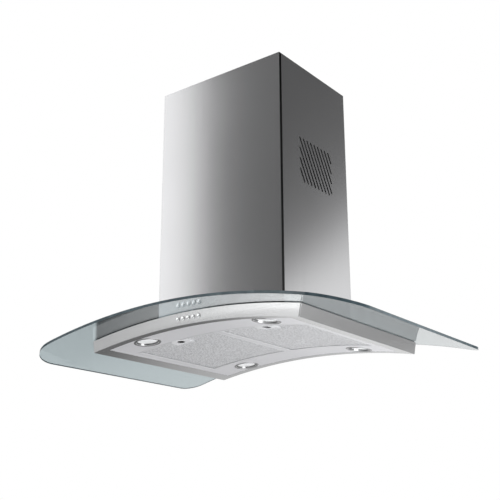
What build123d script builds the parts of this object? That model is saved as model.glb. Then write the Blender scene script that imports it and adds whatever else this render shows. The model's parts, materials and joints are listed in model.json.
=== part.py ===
from build123d import *

import os
from math import asin, degrees, sqrt

# Curved glass island range hood, in millimetres. The origin is the middle of the
# ceiling plate's top face, +Z up, X across the hood, -Y towards its front.

# ---- Driving dimensions ------------------------------------------------------
# The arch: glass, body, underside panel and filters all bend about one axis along Y.
arch_radius = 1605.0        # underside of the glass
glass_width = 900.0
glass_front = 325.0         # from the body's middle to the glass's front edge
glass_back = 286.0
glass_thick = 6.0
glass_front_corner = 95.0
glass_back_corner = 45.0

# Body: a shallow arched steel tray under the glass.
body_width = 596.0          # at its top edge
body_depth = 485.0
body_drop = 29.5            # from the underside of the glass to the body's lower face
gasket_thick = 1.5
gasket_inset = 3.0
gasket_wide = 8.0
sheet = 1.0                 # body and flue steel
top_flange = 13.0
side_flange = 33.0          # lower return flange at the two ends
front_flange = 20.0         # and along the front and the rear
body_corner = 2.0

# Filters: two mesh cassettes side by side in the underside panel.
filter_span = 245.5         # from the middle to an opening's outer edge
divider_wide = 9.0
filter_front = 143.0        # from the middle to the opening's front edge
filter_back = 140.0
filter_tall = 10.0
filter_wall = 1.2
filter_lip = 5.0
mesh_thick = 3.0
filter_gap = 0.6
filter_front_gap = 1.5      # the front edge swings out a little as the cassette drops
tab_wide = 16.0             # two tabs on the rear edge, a quarter in from its ends
tab_place = 0.25
tab_long = 5.0
tab_thick = 1.0
seat_gap = 0.3              # between pieces that move against each other

# Filter latch: a sliding plate with a finger hole.
latch_wide = 44.0
latch_long = 32.0
latch_thick = 1.5
latch_hole = 10.0           # radius
latch_travel = 5.0
tongue_wide = 24.0
tongue_long = 5.0

# Lamps: four round spots, square to the arch.
lamp_x = 172.0
lamp_y = 188.0
bezel_radius = 32.0
bezel_proud = 1.5
bezel_edge = 0.75           # chamfer round the bezel's face
bezel_neck = 28.0
bezel_wall = 2.0
bezel_lip = 2.0
bezel_tall = 5.0
lens_thick = 3.0
lamp_can_radius = 30.0
lamp_can_tall = 19.0
lamp_can_wall = 1.5
socket_radius = 7.0
socket_tall = 5.0
bulb_radius = 4.5
bulb_tall = 8.0

# Push buttons in the middle of the fascia.
button_count = 5
button_pitch = 15.0
button_drop = 15.0          # below the glass's underside, along the arch's radius
button_radius = 5.0
button_proud = 2.0
button_edge = 0.7           # chamfer round the cap's face
button_collar = 1.5         # how far the retaining collar stands out past the cap
button_collar_thick = 1.5
button_stem = 2.7
button_travel = 1.8
button_stem_long = 8.0
switch_deep = 15.0
switch_tall = 18.0
switch_margin = 14.0
switch_ear = 6.0

# Flue: an outer sleeve that stands on the glass, and an upper sleeve inside it.
flue_width = 366.0
flue_depth = 286.0
flue_tall = 620.0           # from the underside of the glass to the sleeve's top edge
flue_fold = 2.5
cover_return = 8.0          # the front cover's side returns
seam_gap = 0.4
lap_wide = 14.0
upper_gap = 1.2
upper_sheet = 0.8
upper_hem = 3.5             # upper sleeve below its vents
ceiling_gap = 2.0
lift_travel = 200.0         # how far the hood can be let down on its slotted rails
cutout_gap = 1.4            # glass cut-out round the rails

# Vent: slanted slots in both sides of the flue.
vent_wide = 133.0
vent_tall = 107.0
vent_mid_y = 3.0
vent_mid_drop = 246.0       # from the sleeve's top edge to the vent's middle
vent_pitch = 15.1
vent_rise = 26.3            # step down between slots along the vent's side
slot_wide = 5.4
slot_margin = 0.8           # the upper sleeve's slots are this much larger all round

# Ceiling plate and rails.
plate_thick = 3.0
rim_thick = 2.0
rim_tall = 25.0
duct_hole_x = 220.0
duct_hole_y = 170.0
duct_hole_corner = 20.0
bolt_x = 290.0
bolt_y = 210.0
bolt_radius = 4.0
cable_hole_radius = 9.0
rail_leg = 22.0
rail_thick = 2.0
rail_gap = 0.4
rail_screw_radius = 2.5
rail_screw_head = 4.5       # corner radius of the hexagon
rail_screw_head_tall = 3.0
rail_screw_first = 60.0     # down from the ceiling
rail_screw_step = 30.0
rail_screws = 2
rail_end = 12.0             # rail past its lowest screw, with the hood let down

# Blower box, fan and outlet.
box_width = 300.0
box_depth = 224.0
box_tall = 255.0            # from the underside of the glass
box_sheet = 1.0
foot_thick = 1.5
scroll_depth = 90.0
scroll_wall = 2.0
scroll_radius = 80.0        # first of three quarter arcs, each scroll_step larger
scroll_step = 10.0
scroll_floor = 32.0         # scroll's lowest point above the glass's underside
tongue_offset = 14.0
wheel_radius = 70.0
wheel_gap = 4.0
blade_count = 24
blade_deep = 12.0           # radial depth of the wheel's two rims
blade_edge = 1.0            # rim on each side of the blades
blade_thick = 1.0
blade_sweep = 5.0
wheel_plate = 2.0
wheel_hub = 14.0
shaft_radius = 4.0
bearing_gap = 0.05
inlet_radius = 56.0
inlet_flare = 8.0
motor_radius = 46.0
motor_long = 50.0
motor_standoff = 6.0
motor_boss = 16.0
shaft_hole = 20.0
bracket_wall = 4.0
bracket_wide = 10.0
bracket_arms = 3
bracket_reach = 16.0
collar_radius = 75.0        # outside of the spigot, for a 150 mm duct
collar_wall = 1.5
collar_tall = 60.0
collar_flange = 13.0
collar_ledge = 4.0
flap_height = 20.0          # spindle above the box's top
flap_thick = 1.2
flap_gap = 1.5
flap_start = 4.0            # from the spindle to the flap's straight edge
knuckle_radius = 3.0
knuckle_split = 32.0        # the right flap's knuckle ends here, the left one's two start here
knuckle_end = 57.0
knuckle_gap = 0.7
flap_pin_radius = 1.5
pin_gap = 0.06
control_wide = 100.0
control_tall = 80.0
control_deep = 18.0
control_floor = 90.0
gland_radius = 8.0
gland_bore = 4.5
gland_tall = 14.0
capacitor_radius = 15.0
capacitor_tall = 55.0
transformer_wide = 45.0
transformer_deep = 70.0
transformer_tall = 35.0
top_inset = 6.0

# Glass fixings: four capped screws through the glass into the body.
fixing_x = 250.0
fixing_y = 205.0
fixing_cap = 11.0
fixing_cap_tall = 3.0
fixing_shank = 3.0
fixing_hole = 4.0
fixing_spacer = 8.0
fixing_nut = 5.5            # corner radius of the hexagon
fixing_nut_tall = 4.0
fixing_gap = 0.05           # at faces that touch along the arch
overshoot = 2.0             # how far a cutting block runs past the faces that it cuts

# ---- Places worked out from them ----------------------------------------------
apex_z = -(flue_tall + ceiling_gap)          # underside of the glass at its highest
axis_z = apex_z - arch_radius
r_body_top = arch_radius - gasket_thick
r_body_low = arch_radius - body_drop
r_top_plate = r_body_top - sheet             # upper face of the top plate
r_panel_low = r_body_low + sheet             # underside panel lies on the lower flange
r_panel_top = r_panel_low + sheet
r_glass_top = arch_radius + glass_thick
body_half = body_width / 2
wall_half = body_half - sheet
body_front = body_depth / 2

flue_half_x = flue_width / 2
flue_half_y = flue_depth / 2
flue_top = -ceiling_gap
vent_top = flue_top - vent_mid_drop + vent_tall / 2
vent_low = vent_top - vent_tall
upper_flue_low = vent_low - slot_wide - upper_hem
upper_half_x = flue_half_x - sheet - upper_gap
upper_half_y = flue_half_y - sheet - upper_gap
rim_half_x = upper_half_x - upper_sheet
rim_half_y = upper_half_y - upper_sheet
upper_rail_x = rim_half_x - rim_thick
upper_rail_y = rim_half_y - rim_thick
lower_rail_x = upper_rail_x - rail_thick - rail_gap
lower_rail_y = upper_rail_y - rail_thick - rail_gap
cutout_x = lower_rail_x + cutout_gap
cutout_y = lower_rail_y + cutout_gap
last_screw = rail_screw_first + (rail_screws - 1) * rail_screw_step
upper_rail_low = -(last_screw + lift_travel + rail_end)
lower_rail_top = -(plate_thick + seat_gap)
r_foot_top = r_top_plate + foot_thick
seam_y = -flue_half_y + cover_return
box_top = apex_z + box_tall
box_half_x = box_width / 2
box_half_y = box_depth / 2
gland_x = control_wide / 4                  # the cable drops straight from the ceiling's hole
gland_y = -box_half_y - control_deep / 2
corners = [(1, -1), (-1, -1), (1, 1), (-1, 1)]      # right front, left front, right rear, left rear
sides = {"left": -1, "right": 1}


# ---- Helpers: each works in the BuildPart or BuildSketch that is open ------------
def height_at(x, radius):
    """Height of one of the arch's arcs at x."""
    return axis_z + sqrt(radius**2 - x**2)


def arch_block(r_top, r_low, x_span, y_span, mode=Mode.ADD):
    """Bent slab between two arcs, cut upright at the ends of x_span and y_span."""
    stations = (x_span[0], sum(x_span) / 2, x_span[1])
    with BuildSketch(Plane.XZ.offset(-y_span[1])) as profile:
        with BuildLine():
            upper = ThreePointArc(*[(x, height_at(x, r_top)) for x in stations])
            lower = ThreePointArc(*[(x, height_at(x, r_low)) for x in stations])
            Line(upper @ 0, lower @ 0)
            Line(upper @ 1, lower @ 1)
        make_face()
    extrude(profile.sketch, amount=y_span[1] - y_span[0], mode=mode)


def radial_block(r_top, r_low, half_width, half_depth, mode=Mode.ADD):
    """Bent slab with its ends square to the arch; half_width is at the body's top edge."""
    half_turn = degrees(asin(half_width / r_body_top))
    with BuildSketch(Plane.XZ) as profile:
        with BuildLine():
            upper = CenterArc((0, axis_z), r_top, 90 - half_turn, 2 * half_turn)
            lower = CenterArc((0, axis_z), r_low, 90 - half_turn, 2 * half_turn)
            Line(upper @ 0, lower @ 0)
            Line(upper @ 1, lower @ 1)
        make_face()
    extrude(profile.sketch, amount=half_depth, both=True, mode=mode)


def square_to_arch(x, y, radius):
    """Plane on the arch at x, y, its normal pointing out from the arch's axis."""
    outward = (x, 0, height_at(x, radius) - axis_z)
    return Plane(origin=(x, y, height_at(x, radius)), x_dir=(0, 1, 0), z_dir=outward)


def disc(place, radius, low, high, mode=Mode.ADD):
    """Round boss on a plane, from low to high along its normal."""
    with BuildSketch(place.offset(low)) as profile:
        Circle(radius)
    extrude(profile.sketch, amount=high - low, mode=mode)


def hexagon(place, radius, low, high):
    """Six-sided head or nut on a plane, from low to high along its normal."""
    with BuildSketch(place.offset(low)) as profile:
        RegularPolygon(radius, side_count=6)
    extrude(profile.sketch, amount=high - low)


def ring(place, outer, inner, low, high):
    """Round sleeve on a plane, from low to high along its normal."""
    with BuildSketch(place.offset(low)) as profile:
        Circle(outer)
        Circle(inner, mode=Mode.SUBTRACT)
    extrude(profile.sketch, amount=high - low)


def angle_profile(corner_x, corner_y):
    """Equal angle in the open sketch, its heel at the corner and its legs inwards."""
    heel = [Align.MAX if value > 0 else Align.MIN for value in (corner_x, corner_y)]
    with Locations((corner_x, corner_y)):
        Rectangle(rail_leg, rail_thick, align=heel)
        Rectangle(rail_thick, rail_leg, align=heel)


def sleeve_profile(half_x, half_y, wall):
    """Folded sheet tube in the open sketch."""
    RectangleRounded(2 * half_x, 2 * half_y, flue_fold)
    RectangleRounded(2 * (half_x - wall), 2 * (half_y - wall), flue_fold - wall, mode=Mode.SUBTRACT)


def vent_slots(margin=0, rounded=True):
    """Slanted slots cut through both sides of the sleeve that is open."""
    left = vent_mid_y - vent_wide / 2
    right = left + vent_wide
    wide = slot_wide + 2 * margin
    starts = [(left + step * vent_pitch, vent_top) for step in range(int(vent_wide / vent_pitch) + 1)]
    starts += [(left, vent_top - step * vent_rise) for step in range(1, int(vent_tall / vent_rise))]
    slant = degrees(asin(vent_rise / sqrt(vent_pitch**2 + vent_rise**2)))
    with BuildSketch(Plane.YZ) as profile:
        for y, z in starts:
            steps = min((right - y) / vent_pitch, (z - vent_low) / vent_rise)
            run, fall = steps * vent_pitch, steps * vent_rise
            with Locations((y + run / 2, z - fall / 2)):
                if rounded:
                    SlotCenterToCenter(sqrt(run**2 + fall**2), wide, rotation=-slant)
                else:
                    Rectangle(sqrt(run**2 + fall**2) + wide, wide, rotation=-slant)
    extrude(profile.sketch, amount=flue_width, both=True, mode=Mode.SUBTRACT)


def save(builder, name):
    """Label a finished piece and write it under its name."""
    builder.part.label = name
    export_step(builder.part, f"parts/{name}.step")


os.makedirs("parts", exist_ok=True)

# ---- Ceiling plate and the four upper rails ---------------------------------------
with BuildPart() as ceiling_plate:
    with BuildSketch(Plane.XY.offset(-plate_thick)):
        Rectangle(2 * rim_half_x, 2 * rim_half_y)
        RectangleRounded(duct_hole_x, duct_hole_y, duct_hole_corner, mode=Mode.SUBTRACT)
        with GridLocations(bolt_x, bolt_y, 2, 2):
            Circle(bolt_radius, mode=Mode.SUBTRACT)
        with Locations((gland_x, gland_y)):
            Circle(cable_hole_radius, mode=Mode.SUBTRACT)
    extrude(amount=plate_thick)
    with BuildSketch(Plane.XY.offset(-rim_tall)):
        Rectangle(2 * rim_half_x, 2 * rim_half_y)
        Rectangle(2 * upper_rail_x, 2 * upper_rail_y, mode=Mode.SUBTRACT)
    extrude(amount=rim_tall - plate_thick)
save(ceiling_plate, "ceiling_plate")

for number, (side_x, side_y) in enumerate(corners, start=1):
    slot_top = -(rail_screw_first - rail_screw_radius - 2 * seat_gap)
    slot_low = -(last_screw + lift_travel + rail_screw_radius + 2 * seat_gap)
    with BuildPart() as upper_rail:
        with BuildSketch(Plane.XY.offset(upper_rail_low)):
            angle_profile(side_x * upper_rail_x, side_y * upper_rail_y)
        extrude(amount=-plate_thick - upper_rail_low)
        with BuildSketch(Plane.YZ):
            with Locations((side_y * (upper_rail_y - rail_leg / 2), (slot_top + slot_low) / 2)):
                SlotOverall(slot_top - slot_low, 2 * (rail_screw_radius + seat_gap), rotation=90)
        extrude(amount=side_x * flue_width, mode=Mode.SUBTRACT)
    save(upper_rail, f"upper_rail_{number}")

# ---- Upper flue: a plain sleeve round the ceiling plate's rim -----------------------
with BuildPart() as upper_flue:
    with BuildSketch(Plane.XY.offset(upper_flue_low)):
        RectangleRounded(2 * upper_half_x, 2 * upper_half_y, flue_fold)
        Rectangle(2 * rim_half_x, 2 * rim_half_y, mode=Mode.SUBTRACT)
    extrude(amount=flue_top + ceiling_gap / 2 - upper_flue_low)
    vent_slots(margin=slot_margin, rounded=False)
save(upper_flue, "upper_flue")

# ---- Lower rails: they stand on the blower box's foot inside the upper ones ---------
for number, (side_x, side_y) in enumerate(corners, start=1):
    with BuildPart() as lower_rail:
        with BuildSketch(Plane.XY.offset(lower_rail_top)):
            angle_profile(side_x * lower_rail_x, side_y * lower_rail_y)
        extrude(amount=-(lower_rail_top - apex_z + body_drop))
        arch_block(r_foot_top, r_body_low, (-body_half, body_half), (-body_front, body_front),
                   mode=Mode.SUBTRACT)
        arch_block(r_body_low, r_body_low - body_drop, (-body_half, body_half),
                   (-body_front, body_front), mode=Mode.SUBTRACT)
        for screw in range(rail_screws):
            drop = rail_screw_first + screw * rail_screw_step
            with BuildSketch(Plane.YZ):
                with Locations((side_y * (upper_rail_y - rail_leg / 2), -drop)):
                    Circle(rail_screw_radius)
            extrude(amount=side_x * flue_width, mode=Mode.SUBTRACT)
    save(lower_rail, f"lower_rail_{number}")

with BuildPart() as frame_screws:
    for side_x, side_y in corners:
        for screw in range(rail_screws):
            spot = (0, side_y * (upper_rail_y - rail_leg / 2),
                    -(rail_screw_first + screw * rail_screw_step))
            shaft_line = Plane(origin=spot, x_dir=(0, 1, 0), z_dir=(side_x, 0, 0))
            head_seat = lower_rail_x - rail_thick
            disc(shaft_line, rail_screw_radius, head_seat, upper_rail_x - seat_gap)
            hexagon(shaft_line, rail_screw_head, head_seat - rail_screw_head_tall, head_seat)
save(frame_screws, "frame_screws")

# ---- Glass canopy --------------------------------------------------------------------
with BuildPart() as glass_canopy:
    arch_block(r_glass_top, arch_radius, (-glass_width, glass_width), (-2 * glass_front, 2 * glass_back))
    with BuildSketch(Plane.XY.offset(2 * apex_z)) as plan:
        with Locations((0, (glass_back - glass_front) / 2)):
            Rectangle(glass_width, glass_front + glass_back)
        back_corners = plan.vertices().group_by(Axis.Y)[-1]
        fillet(back_corners, radius=glass_back_corner)
        front_corners = plan.vertices().group_by(Axis.Y)[0]
        fillet(front_corners, radius=glass_front_corner)
        Rectangle(2 * cutout_x, 2 * cutout_y, mode=Mode.SUBTRACT)
    extrude(amount=-2 * apex_z, mode=Mode.INTERSECT)
    for side_x, side_y in corners:
        hole = square_to_arch(side_x * fixing_x, side_y * fixing_y, arch_radius)
        disc(hole, fixing_hole, -overshoot, glass_thick + overshoot, mode=Mode.SUBTRACT)
save(glass_canopy, "glass_canopy")

gasket_x = body_half - gasket_inset
gasket_y = body_front - gasket_inset
with BuildPart() as glass_gasket:
    arch_block(arch_radius - fixing_gap, r_body_top + fixing_gap, (-gasket_x, gasket_x),
               (-gasket_y, gasket_y))
    arch_block(arch_radius + overshoot, r_body_top - overshoot,
               (gasket_wide - gasket_x, gasket_x - gasket_wide), (gasket_wide - gasket_y, gasket_y - gasket_wide),
               mode=Mode.SUBTRACT)
save(glass_gasket, "glass_gasket")

with BuildPart() as glass_fixings:
    for side_x, side_y in corners:
        stud = square_to_arch(side_x * fixing_x, side_y * fixing_y, arch_radius)
        cap_seat = glass_thick + fixing_gap
        spacer_seat = r_top_plate - arch_radius + fixing_gap
        nut_seat = r_top_plate - sheet - arch_radius - fixing_gap
        disc(stud, fixing_cap, cap_seat, cap_seat + fixing_cap_tall)
        disc(stud, fixing_shank, nut_seat - fixing_nut_tall, cap_seat)
        disc(stud, fixing_spacer, spacer_seat, -fixing_gap)
        hexagon(stud, fixing_nut, nut_seat - fixing_nut_tall, nut_seat)
save(glass_fixings, "glass_fixings")

# ---- Body: arched shell, top plate and underside panel ----------------------------------
with BuildPart() as body_shell:
    radial_block(r_body_top, r_body_low, body_half, body_front)
    upright = body_shell.edges().filter_by(GeomType.LINE).filter_by(Axis.Y, reverse=True)
    fillet(upright, radius=body_corner)
    radial_block(r_body_top - sheet, r_body_low + sheet, wall_half, body_front - sheet, mode=Mode.SUBTRACT)
    radial_block(r_body_top + overshoot, r_top_plate - overshoot, body_half - top_flange,
                 body_front - top_flange, mode=Mode.SUBTRACT)
    radial_block(r_panel_low + overshoot, r_body_low - overshoot, body_half - side_flange,
                 body_front - front_flange, mode=Mode.SUBTRACT)
    for number in range(button_count):
        button_x = (number - (button_count - 1) / 2) * button_pitch
        with BuildSketch(Plane.XZ.offset(body_front - sheet - overshoot)):
            with Locations((button_x, height_at(button_x, arch_radius - button_drop))):
                Circle(button_radius + seat_gap)
        extrude(amount=sheet + 2 * overshoot, mode=Mode.SUBTRACT)
save(body_shell, "body_shell")

with BuildPart() as body_top_plate:
    radial_block(r_top_plate, r_top_plate - sheet, wall_half, body_front - sheet)
    throat_x, throat_y = box_half_x - box_sheet, box_half_y - box_sheet
    arch_block(r_top_plate + overshoot, r_top_plate - sheet - overshoot, (-throat_x, throat_x),
               (-throat_y, throat_y), mode=Mode.SUBTRACT)
    for side_x, side_y in corners:
        hole = square_to_arch(side_x * fixing_x, side_y * fixing_y, arch_radius)
        disc(hole, fixing_shank, r_top_plate - sheet - arch_radius - overshoot, 0, mode=Mode.SUBTRACT)
save(body_top_plate, "body_top_plate")

notch_half = tongue_wide / 2 + seat_gap
notch_deep = tongue_long + 2 * seat_gap
latch_y = -filter_front + filter_front_gap + filter_wall      # front edge of the latch plate
filter_mid = (divider_wide / 2 + filter_span) / 2
with BuildPart() as underside_panel:
    radial_block(r_panel_top, r_panel_low, wall_half, body_front - sheet)
    for side in sides.values():
        opening = sorted((side * divider_wide / 2, side * filter_span))
        notch = (side * filter_mid - notch_half, side * filter_mid + notch_half)
        above, below = r_panel_top + overshoot, r_panel_low - overshoot
        arch_block(above, below, opening, (-filter_front, filter_back), mode=Mode.SUBTRACT)
        arch_block(above, below, notch, (latch_y - notch_deep, -filter_front + sheet), mode=Mode.SUBTRACT)
    for side_x, side_y in corners:
        hole = square_to_arch(side_x * lamp_x, side_y * lamp_y, r_panel_low)
        disc(hole, bezel_neck + seat_gap, -bezel_tall, bezel_tall, mode=Mode.SUBTRACT)
save(underside_panel, "underside_panel")

# ---- Lamps: bezel, lens, can with its lamp socket, and capsule bulbs ----------------------
bezel_top = sqrt(r_panel_low**2 - bezel_radius**2) - r_panel_low      # flat rim under the bent panel
lens_low = bezel_lip
lens_radius = bezel_neck - bezel_wall
can_top = sheet + lamp_can_tall
for number, (side_x, side_y) in enumerate(corners, start=1):
    seat = square_to_arch(side_x * lamp_x, side_y * lamp_y, r_panel_low)
    with BuildPart() as lamp_bezel:
        disc(seat, bezel_radius, -bezel_proud, bezel_top)
        face_edge = lamp_bezel.edges().sort_by(Axis.Z)[0]
        chamfer(face_edge, length=bezel_edge)
        disc(seat, bezel_neck, bezel_top, bezel_tall)
        disc(seat, lens_radius, lens_low, bezel_tall, mode=Mode.SUBTRACT)
        disc(seat, lens_radius - bezel_lip, -bezel_proud, lens_low, mode=Mode.SUBTRACT)
    save(lamp_bezel, f"lamp_bezel_{number}")

    with BuildPart() as lamp_lens:
        disc(seat, lens_radius, lens_low, lens_low + lens_thick)
    save(lamp_lens, f"lamp_lens_{number}")

    with BuildPart() as lamp_can:
        ring(seat, lamp_can_radius, lamp_can_radius - lamp_can_wall, sheet + fixing_gap, can_top)
        disc(seat, lamp_can_radius, can_top - lamp_can_wall, can_top)
        disc(seat, socket_radius, can_top - socket_tall, can_top)
    save(lamp_can, f"lamp_can_{number}")

with BuildPart() as lamp_bulbs:
    for side_x, side_y in corners:
        seat = square_to_arch(side_x * lamp_x, side_y * lamp_y, r_panel_low)
        bulb_seat = can_top - socket_tall
        disc(seat, bulb_radius, bulb_seat - bulb_tall, bulb_seat)
save(lamp_bulbs, "lamp_bulbs")

# ---- Filters: bent frame, mesh pack and sliding latch ----------------------------------
frame_back = filter_back - filter_gap
frame_front = -filter_front + filter_front_gap
r_frame_top = r_panel_low + filter_tall
r_mesh_low = r_panel_low + filter_wall
bed_low = latch_thick + seat_gap             # underside of the plate that carries the latch
for side_name, side in sides.items():
    inner = divider_wide / 2 + filter_gap
    outer = filter_span - filter_gap
    outline = sorted((side * inner, side * outer))
    window = (outline[0] + filter_lip, outline[1] - filter_lip)
    channel = (outline[0] + filter_wall, outline[1] - filter_wall)
    middle = side * filter_mid
    latch_span = (middle - latch_wide / 2, middle + latch_wide / 2)
    pocket = (latch_span[0] - seat_gap, latch_span[1] + seat_gap)
    bed = (pocket[0] - filter_wall, pocket[1] + filter_wall)
    bed_back = latch_y + latch_long + latch_travel + filter_wall
    finger_y = latch_y + latch_long / 2
    r_bed = r_panel_low + bed_low
    with BuildPart() as filter_frame:
        arch_block(r_frame_top, r_panel_low, outline, (frame_front, frame_back))
        arch_block(r_frame_top + overshoot, r_panel_low - overshoot, window,
                   (frame_front + filter_lip, frame_back - filter_lip), mode=Mode.SUBTRACT)
        arch_block(r_frame_top - filter_wall, r_mesh_low, channel,
                   (frame_front + filter_wall, frame_back - filter_wall), mode=Mode.SUBTRACT)
        arch_block(r_bed + filter_wall, r_panel_low, bed, (frame_front, bed_back))
        arch_block(r_bed, r_panel_low - overshoot, pocket, (latch_y - seat_gap, bed_back - filter_wall),
                   mode=Mode.SUBTRACT)
        arch_block(r_bed, r_panel_low - overshoot, (middle - notch_half, middle + notch_half),
                   (frame_front - overshoot, latch_y), mode=Mode.SUBTRACT)
        disc(square_to_arch(middle, finger_y, r_panel_low), latch_hole + latch_travel,
             bed_low - seat_gap, filter_tall, mode=Mode.SUBTRACT)
        for share in (tab_place, 1 - tab_place):
            tab_x = outline[0] + share * (outline[1] - outline[0])
            tab_low = r_panel_top + seat_gap
            arch_block(tab_low + tab_thick, tab_low, (tab_x - tab_wide / 2, tab_x + tab_wide / 2),
                       (frame_back - filter_wall, frame_back + tab_long))
    save(filter_frame, f"filter_frame_{side_name}")

    with BuildPart() as filter_mesh:
        arch_block(r_mesh_low + mesh_thick, r_mesh_low, channel,
                   (frame_front + filter_wall, frame_back - filter_wall))
        arch_block(r_frame_top, r_panel_low, bed, (frame_front, bed_back), mode=Mode.SUBTRACT)
    save(filter_mesh, f"filter_mesh_{side_name}")

    with BuildPart() as filter_latch:
        arch_block(r_panel_low + latch_thick, r_panel_low, latch_span, (latch_y, latch_y + latch_long))
        arch_block(r_panel_low + latch_thick, r_panel_low,
                   (middle - tongue_wide / 2, middle + tongue_wide / 2), (latch_y - tongue_long, latch_y))
        finger = square_to_arch(middle, finger_y, r_panel_low)
        disc(finger, latch_hole, -filter_tall, filter_tall, mode=Mode.SUBTRACT)
    save(filter_latch, f"filter_latch_{side_name}")

# ---- Push buttons and their switch block -------------------------------------------------
fascia_inside = -(body_front - sheet)
collar_front = fascia_inside + seat_gap
collar_back = collar_front + button_collar_thick
switch_front = collar_back + button_travel + seat_gap
switch_half = (button_count - 1) * button_pitch / 2 + switch_margin
switch_z = height_at(0, arch_radius - button_drop)
button_places = []
for number in range(button_count):
    button_x = (number - (button_count - 1) / 2) * button_pitch
    button_places.append((button_x, height_at(button_x, arch_radius - button_drop)))

with BuildPart() as switch_block:
    with BuildSketch(Plane.XZ.offset(-switch_front)):
        with Locations((0, switch_z)):
            Rectangle(2 * switch_half, switch_tall)
    extrude(amount=-switch_deep)
    with BuildSketch(Plane.XZ.offset(-switch_front)):
        for end in (-1, 1):
            with Locations((end * (switch_half - switch_ear / 2), switch_z)):
                Rectangle(switch_ear, switch_tall)
    extrude(amount=switch_front - fascia_inside)
    with BuildSketch(Plane.XZ.offset(-switch_front)):
        with Locations(*button_places):
            Circle(button_stem + seat_gap)
    extrude(amount=-(button_stem_long + button_travel), mode=Mode.SUBTRACT)
save(switch_block, "switch_block")

for number, place in enumerate(button_places, start=1):
    with BuildPart() as button:
        spot = Plane(origin=(place[0], 0, place[1]), x_dir=(1, 0, 0), z_dir=(0, 1, 0))
        disc(spot, button_radius, -(body_front + button_proud), collar_back)
        chamfer(button.edges().sort_by(Axis.Y)[0], length=button_edge)
        disc(spot, button_radius + button_collar, collar_front, collar_back)
        disc(spot, button_stem, collar_back, collar_back + button_stem_long)
    save(button, f"button_{number}")

# ---- Outer flue: three-sided rear shell and a front cover, standing on the glass -----------
with BuildPart() as flue_rear_shell:
    with BuildSketch(Plane.XY.offset(2 * apex_z)):
        sleeve_profile(flue_half_x, flue_half_y, sheet)
        with Locations((0, seam_y + seam_gap)):
            Rectangle(2 * flue_width, flue_depth, align=(Align.CENTER, Align.MAX), mode=Mode.SUBTRACT)
        for end in (-1, 1):
            with Locations((end * (flue_half_x - sheet), seam_y + lap_wide / 2)):
                Rectangle(upper_gap / 2, lap_wide, align=(Align.MAX if end > 0 else Align.MIN, Align.CENTER))
    extrude(amount=flue_top - 2 * apex_z)
    arch_block(r_glass_top, arch_radius + 2 * apex_z, (-flue_half_x - overshoot, flue_half_x + overshoot),
               (-flue_depth, flue_depth), mode=Mode.SUBTRACT)
    vent_slots()
save(flue_rear_shell, "flue_rear_shell")

with BuildPart() as flue_front_cover:
    with BuildSketch(Plane.XY.offset(2 * apex_z)):
        sleeve_profile(flue_half_x, flue_half_y, sheet)
        with Locations((0, seam_y)):
            Rectangle(2 * flue_width, 2 * flue_depth, align=(Align.CENTER, Align.MIN), mode=Mode.SUBTRACT)
    extrude(amount=flue_top - 2 * apex_z)
    arch_block(r_glass_top, arch_radius + 2 * apex_z, (-flue_half_x - overshoot, flue_half_x + overshoot),
               (-flue_depth, flue_depth), mode=Mode.SUBTRACT)
save(flue_front_cover, "flue_front_cover")

# ---- Blower box: a sheet box that stands through the glass on the top plate --------------------
fan_x = -(tongue_offset + scroll_step + scroll_radius + 2 * scroll_step) / 2
fan_z = apex_z + scroll_floor + scroll_radius + scroll_step
fan_axis = Plane(origin=(fan_x, 0, fan_z), x_dir=(1, 0, 0), z_dir=(0, 1, 0))
outlet_left = fan_x + tongue_offset
outlet_right = -outlet_left
outlet_half_y = scroll_depth / 2 - scroll_wall
with BuildPart() as blower_box:
    arch_block(r_foot_top, r_top_plate, (-lower_rail_x, lower_rail_x), (-lower_rail_y, lower_rail_y))
    with BuildSketch(Plane.XY.offset(apex_z - body_drop)):
        Rectangle(box_width, box_depth)
    extrude(amount=box_tall + body_drop)
    arch_block(r_top_plate, r_body_low - body_drop, (-lower_rail_x, lower_rail_x),
               (-lower_rail_y, lower_rail_y), mode=Mode.SUBTRACT)
    with BuildSketch(Plane.XY.offset(apex_z - body_drop)):
        Rectangle(box_width - 2 * box_sheet, box_depth - 2 * box_sheet)
    extrude(amount=box_tall + body_drop - box_sheet, mode=Mode.SUBTRACT)
    with BuildSketch(Plane.XY.offset(box_top - box_sheet - overshoot)):
        Rectangle(outlet_right - outlet_left, 2 * outlet_half_y)
    extrude(amount=box_sheet + 2 * overshoot, mode=Mode.SUBTRACT)
save(blower_box, "blower_box")


# ---- Fan: scroll, inlet plate, wheel, shaft, motor and its bracket -----------------------------
def volute(growth, y_span, mode=Mode.ADD):
    """Snail block: three quarter arcs, each larger, then straight up to the outlet."""
    first, second, third = (scroll_radius + step * scroll_step + growth for step in range(3))
    with BuildSketch(Plane.XZ.offset(-y_span[1])) as profile:
        with BuildLine():
            left_top = CenterArc((fan_x, fan_z), first, 90, 90)
            left_low = CenterArc((fan_x + scroll_step, fan_z), second, 180, 90)
            right_low = CenterArc((fan_x + scroll_step, fan_z + scroll_step), third, 270, 90)
            Line(right_low @ 1, (outlet_right + growth, box_top - box_sheet))
            Line((outlet_right + growth, box_top - box_sheet), (outlet_left - growth, box_top - box_sheet))
            Line((outlet_left - growth, box_top - box_sheet),
                 (outlet_left - growth, fan_z + first))
            Line((outlet_left - growth, fan_z + first), left_top @ 0)
        make_face()
    extrude(profile.sketch, amount=y_span[1] - y_span[0], mode=mode)


mouth_y = -scroll_depth / 2
with BuildPart() as fan_scroll:
    volute(scroll_wall, (-outlet_half_y, scroll_depth / 2))
    volute(0, (-outlet_half_y, outlet_half_y), mode=Mode.SUBTRACT)
    disc(fan_axis, shaft_hole, 0, scroll_depth, mode=Mode.SUBTRACT)
save(fan_scroll, "fan_scroll")

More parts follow.
